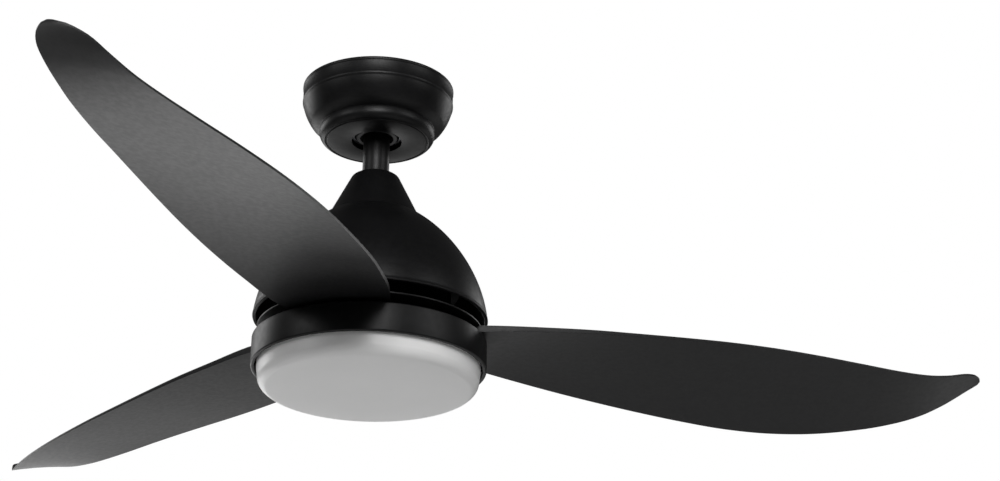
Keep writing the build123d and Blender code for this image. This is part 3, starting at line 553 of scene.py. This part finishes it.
def blade_piece(number, azimuth, finish, edge_round):
    """One blade: a grid bent to the underside, extruded to its thickness, with rounded edges."""
    root, tip = BLADE_STATIONS[0][0], BLADE_STATIONS[-1][0]
    bm = bmesh.new()
    bmesh.ops.create_grid(bm, x_segments=BLADE_GRID[0], y_segments=BLADE_GRID[1], size=0.5)
    shares = {}
    for vert in bm.verts:
        out, across = vert.co.x + 0.5, (1 - math.cos(math.pi * (vert.co.y + 0.5))) / 2
        crowded = (1 - TIP_CROWDING) * out + TIP_CROWDING * math.sin(out * math.pi / 2)
        along = root + (tip - root) * crowded
        shares[vert] = (along, across)
    for vert, (along, across) in shares.items():
        y, z, _ = blade_place(along, across)
        vert.co = (along * MM, y * MM, z * MM)
    under = list(bm.faces)
    extruded = bmesh.ops.extrude_face_region(bm, geom=under)["geom"]
    for vert in (item for item in extruded if isinstance(item, bmesh.types.BMVert)):
        along = vert.co.x / MM
        span = flowing(3, along) - flowing(1, along)
        across = min(1.0, max(0.0, (vert.co.y / MM - flowing(1, along)) / span))
        vert.co.z += blade_place(along, across)[2] * MM
    bmesh.ops.recalc_face_normals(bm, faces=bm.faces)
    rims = [edge for edge in bm.edges if edge.calc_face_angle(0.0) > RIM_ANGLE]
    bmesh.ops.bevel(bm, geom=rims, offset=edge_round, segments=3, profile=0.5, affect="EDGES",
                    material=-1, clamp_overlap=True)
    turn = Matrix.Rotation(math.radians(azimuth), 3, "Z")
    bmesh.ops.rotate(bm, verts=bm.verts, cent=(0, 0, 0), matrix=turn)
    return finished(f"fan_blade_{number}", bm, finish, "rotor", f"blade_{number}")


# ---------------------------------------------------------------- light ring and lens
def light_ring(finish):
    """Fixed ring round the light, closed above, with a soft lower edge and ledges for the lens."""
    radius, low, top = reach("light_pan")
    inner = radius - 2.5
    outline = [(19.0, top), (radius - 1.0, top), (radius, top - 1.0), (radius, low + 1.5)]
    outline += arc(outline[-1], (radius - 0.45, low + 0.45), (radius - 1.5, low), 6)
    outline += [(inner - 1.0, low), (inner - 1.0, low + 4.3), (inner, low + 4.6), (inner, top - 2.0),
                (19.0, top - 2.0)]
    bm = bmesh.new()
    turned(bm, outline)
    round_rings(bm, [(radius - 1.0, top), (radius, top - 1.0), (inner - 1.0, low)], 0.3 * MM, 2)
    for azimuth in LEDGE_AZIMUTHS:
        arc_block(bm, 103.4, inner + 0.3, -283.0, -281.0, azimuth - 27, azimuth + 27, 24)
    return finished("light_ring", bm, finish, "hanging", "light_pan")


def opal_lens(finish):
    """Opal lens: a straight collar, a slightly drawn-in side, a soft corner and a flat face."""
    _, low, top = reach("diffuser")
    radius, wall = 102.6, 2.0
    outline = [(radius - wall, top), (radius, top), (radius, -288.0), (101.4, -296.0)]
    outline += arc(outline[-1], (98.8, low + 3.0), (92.3, low), 12)
    outline += [(60.0, low), (0.0, low), (0.0, low + wall), (92.0, low + wall)]
    outline += arc(outline[-1], (97.2, low + 4.4), (99.4, -295.8), 8)
    outline.append((radius - wall, -288.0))
    bm = bmesh.new()
    turned(bm, outline)
    round_rings(bm, [(radius, top), (radius - wall, top)], 0.4 * MM, 2)
    for azimuth in LUG_AZIMUTHS:
        arc_block(bm, 101.6, 105.0, -280.6, -278.4, azimuth - 7, azimuth + 7, 8)
    return finished("opal_lens", bm, finish, "lens", "diffuser")


# ---------------------------------------------------------------- stage
CAMERA_PLACE = (0.0, -1.7601, -0.9005)
CAMERA_UP_DEG = 22.96
CAMERA_RIGHT_DEG = 3.88
CAMERA_ROLL_DEG = 0.52
CAMERA_LENS_MM = 73.04


def view_camera():
    """Camera below and in front of the fan, looking up at it."""
    data = bpy.data.cameras.new("fan_camera")
    data.sensor_width = 36.0
    data.lens = CAMERA_LENS_MM
    data.clip_end = 50.0
    up, right, roll = (math.radians(v) for v in (CAMERA_UP_DEG, CAMERA_RIGHT_DEG, CAMERA_ROLL_DEG))
    forward = Vector((math.sin(right) * math.cos(up), math.cos(right) * math.cos(up), math.sin(up)))
    level = Vector((math.cos(right), -math.sin(right), 0.0))
    above = level.cross(forward)
    side = math.cos(roll) * level + math.sin(roll) * above
    over = math.cos(roll) * above - math.sin(roll) * level
    camera = bpy.data.objects.new("fan_camera", data)
    facing = Matrix((side, over, -forward)).transposed().to_4x4()
    camera.matrix_world = Matrix.Translation(CAMERA_PLACE) @ facing
    bpy.context.scene.collection.objects.link(camera)
    bpy.context.scene.camera = camera


# Lights round the fan: name, azimuth from the camera's side and elevation in degrees, and watts.
SOFTBOXES = (
    ("front_softbox", 0, 20, 34.0),
    ("front_left_softbox", -60, 20, 9.0),
    ("front_right_softbox", 60, 20, 9.0),
    ("back_left_rim", -130, 16, 11.0),
    ("back_right_rim", 130, 16, 8.0),
    ("back_low_softbox", 180, -8, 2.6),
    ("back_left_low_softbox", -155, -8, 7.5),
    ("right_low_softbox", 130, -22, 2.2),
    ("left_floor_softbox", -155, -22, 2.6),
)
SOFTBOX_SIZE = 1.1
SOFTBOX_REACH = 2.4
LIGHT_AIM = (0.0, 0.0, -0.2)
FLOOR_WASH_SIZE = 8.0
FLOOR_WASH_LIFT = 0.9
FLOOR_HALF_SIZE = 9.0
AMBIENT_SHARE = 0.05            # how much of the backdrop's brightness lights the fan


def floor_wash(drop, watts):
    """A wide light over the floor that faces down, so the fan sees it only as light off the floor."""
    data = bpy.data.lights.new("floor_wash", "AREA")
    data.shape = "SQUARE"
    data.size = FLOOR_WASH_SIZE
    data.energy = watts * bpy.context.scene.fan_stage.light_scale
    light = bpy.data.objects.new("floor_wash", data)
    light.location = (0.0, 0.0, FLOOR_WASH_LIFT - drop)
    light.visible_camera = False
    bpy.context.scene.collection.objects.link(light)


def softbox(name, azimuth, elevation, watts):
    """A soft square light aimed at the fan, out of the camera's sight."""
    data = bpy.data.lights.new(name, "AREA")
    data.shape = "SQUARE"
    data.size = SOFTBOX_SIZE
    data.energy = watts * bpy.context.scene.fan_stage.light_scale
    turn, lift = math.radians(azimuth), math.radians(elevation)
    away = Vector((math.sin(turn) * math.cos(lift), -math.cos(turn) * math.cos(lift), math.sin(lift)))
    light = bpy.data.objects.new(name, data)
    light.location = Vector(LIGHT_AIM) + away * SOFTBOX_REACH
    light.rotation_euler = (-away).to_track_quat("-Z", "Y").to_euler()
    light.visible_camera = False
    bpy.context.scene.collection.objects.link(light)


def pale_floor(drop):
    """Plain pale floor well below the fan."""
    bm = bmesh.new()
    bmesh.ops.create_grid(bm, x_segments=1, y_segments=1, size=FLOOR_HALF_SIZE)
    bmesh.ops.translate(bm, verts=bm.verts, vec=(0, 0, -drop))
    mesh = bpy.data.meshes.new("pale_floor")
    bm.to_mesh(mesh)
    bm.free()
    floor = bpy.data.objects.new("pale_floor", mesh)
    bpy.context.scene.collection.objects.link(floor)
    material = plain_finish("pale_floor", (0.82, 0.82, 0.82), 0.85)
    tinted(material, cloudy(material, 1.5), (0.80, 0.80, 0.80), (0.84, 0.84, 0.84))
    mesh.materials.append(material)


def plain_backdrop(strength):
    """Even white surroundings: full white where seen, softer as a light."""
    world = bpy.data.worlds.new("studio")
    world.use_nodes = True
    tree = world.node_tree
    tree.nodes.clear()
    seen, lit = tree.nodes.new("ShaderNodeBackground"), tree.nodes.new("ShaderNodeBackground")
    seen.inputs["Color"].default_value = (1.0, 1.0, 1.0, 1.0)
    seen.inputs["Strength"].default_value = strength
    lit.inputs["Color"].default_value = (1.0, 1.0, 1.0, 1.0)
    lit.inputs["Strength"].default_value = AMBIENT_SHARE * strength
    ray, mix = tree.nodes.new("ShaderNodeLightPath"), tree.nodes.new("ShaderNodeMixShader")
    out = tree.nodes.new("ShaderNodeOutputWorld")
    tree.links.new(ray.outputs["Is Camera Ray"], mix.inputs["Fac"])
    tree.links.new(lit.outputs["Background"], mix.inputs[1])
    tree.links.new(seen.outputs["Background"], mix.inputs[2])
    tree.links.new(mix.outputs["Shader"], out.inputs["Surface"])
    bpy.context.scene.world = world


# ---------------------------------------------------------------- operators
class FAN_OT_stage(bpy.types.Operator):
    """Make the camera, floor, backdrop and soft lights"""

    bl_idname = "fan.stage"
    bl_label = "Stage"

    def execute(self, context):
        """Builds the stage round the fan."""
        stage = context.scene.fan_stage
        context.scene.view_settings.view_transform = "Standard"
        view_camera()
        pale_floor(stage.floor_drop)
        plain_backdrop(stage.backdrop)
        floor_wash(stage.floor_drop, stage.floor_light)
        for name, azimuth, elevation, watts in SOFTBOXES:
            softbox(name, azimuth, elevation, watts)
        return {"FINISHED"}


class FAN_OT_canopy(bpy.types.Operator):
    """Make the canopy bowl and its trim ring"""

    bl_idname = "fan.canopy"
    bl_label = "Canopy"

    def execute(self, context):
        """Builds both pressed pieces on the ceiling."""
        finish = satin_black_paint()
        canopy_bowl(finish)
        canopy_trim(finish)
        return {"FINISHED"}


class FAN_OT_rod(bpy.types.Operator):
    """Make the downrod and the coupling cover"""

    bl_idname = "fan.rod"
    bl_label = "Rod and cover"

    def execute(self, context):
        """Builds the rod's tube and the cone below it."""
        finish = bpy.data.materials["satin_black_paint"]
        rod_tube(finish)
        cover_cone(finish)
        return {"FINISHED"}


class FAN_OT_housing(bpy.types.Operator):
    """Make the motor's dome and the thin flange that the blades hang from"""

    bl_idname = "fan.housing"
    bl_label = "Housing"

    def execute(self, context):
        """Builds the fixed dome and the turning flange."""
        finish = bpy.data.materials["satin_black_paint"]
        housing_dome(finish)
        carrier_flange(finish)
        return {"FINISHED"}


class FAN_OT_blades(bpy.types.Operator):
    """Make the three moulded blades"""

    bl_idname = "fan.blades"
    bl_label = "Blades"

    def execute(self, context):
        """Builds the blades, evenly spaced about the axis."""
        finish = moulded_blade_black()
        for number in range(1, BLADE_COUNT + 1):
            azimuth = FIRST_BLADE_AZIMUTH + (number - 1) * 360 / BLADE_COUNT
            blade_piece(number, azimuth, finish, context.scene.fan_shape.blade_edge_round)
        return {"FINISHED"}


class FAN_OT_light(bpy.types.Operator):
    """Make the light ring and the opal lens"""

    bl_idname = "fan.light"
    bl_label = "Light"

    def execute(self, context):
        """Builds the fixed ring and the lens that twists out of it."""
        light_ring(bpy.data.materials["satin_black_paint"])
        opal_lens(opal_lens_plastic())
        return {"FINISHED"}


class FAN_OT_inner_parts(bpy.types.Operator):
    """Finish the bracket, ball, motor, bearings and electrics that keep their CAD shape"""

    bl_idname = "fan.inner_parts"
    bl_label = "Inner parts"

    def execute(self, context):
        """Gives each shown CAD node the finish of its slot."""
        finishes = inner_finishes()
        finishes["black_paint"] = bpy.data.materials["satin_black_paint"]
        slots = {entry["node"]: entry["material_slot"] for entry in frame["record"]["subparts"]}
        for name, node in frame["nodes"].items():
            if slots[name] in finishes:
                node.data.materials.clear()
                node.data.materials.append(finishes[slots[name]])
        return {"FINISHED"}


class FAN_PT_panel(bpy.types.Panel):
    """Lists the fan's operators and settings"""

    bl_idname = "FAN_PT_panel"
    bl_label = "Ceiling Fan"
    bl_space_type = "VIEW_3D"
    bl_region_type = "UI"
    bl_category = "Fan"

    def draw(self, context):
        """Shows a button for each operator and a row for each setting."""
        for operator in OPERATORS:
            self.layout.operator(operator.bl_idname)
        for group in (context.scene.fan_paint, context.scene.fan_light, context.scene.fan_shape,
                      context.scene.fan_stage):
            box = self.layout.box()
            for name in group.__annotations__:
                box.prop(group, name)


OPERATORS = (FAN_OT_stage, FAN_OT_canopy, FAN_OT_rod, FAN_OT_housing, FAN_OT_blades, FAN_OT_light,
             FAN_OT_inner_parts)
SETTINGS = {"fan_paint": FanPaintSettings, "fan_light": FanLightSettings, "fan_shape": FanShapeSettings,
            "fan_stage": FanStageSettings}


def register():
    """Registers the settings, operators and panel."""
    for name, group in SETTINGS.items():
        bpy.utils.register_class(group)
        setattr(bpy.types.Scene, name, bpy.props.PointerProperty(type=group))
    for operator in OPERATORS:
        bpy.utils.register_class(operator)
    bpy.utils.register_class(FAN_PT_panel)


def unregister():
    """Takes everything out again."""
    bpy.utils.unregister_class(FAN_PT_panel)
    for operator in reversed(OPERATORS):
        bpy.utils.unregister_class(operator)
    for name, group in reversed(SETTINGS.items()):
        delattr(bpy.types.Scene, name)
        bpy.utils.unregister_class(group)


def main():
    """Registers the classes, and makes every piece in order."""
    register()
    bpy.ops.fan.stage()
    bpy.ops.fan.canopy()
    bpy.ops.fan.rod()
    bpy.ops.fan.housing()
    bpy.ops.fan.blades()
    bpy.ops.fan.light()
    bpy.ops.fan.inner_parts()


if __name__ == "__main__":
    main()
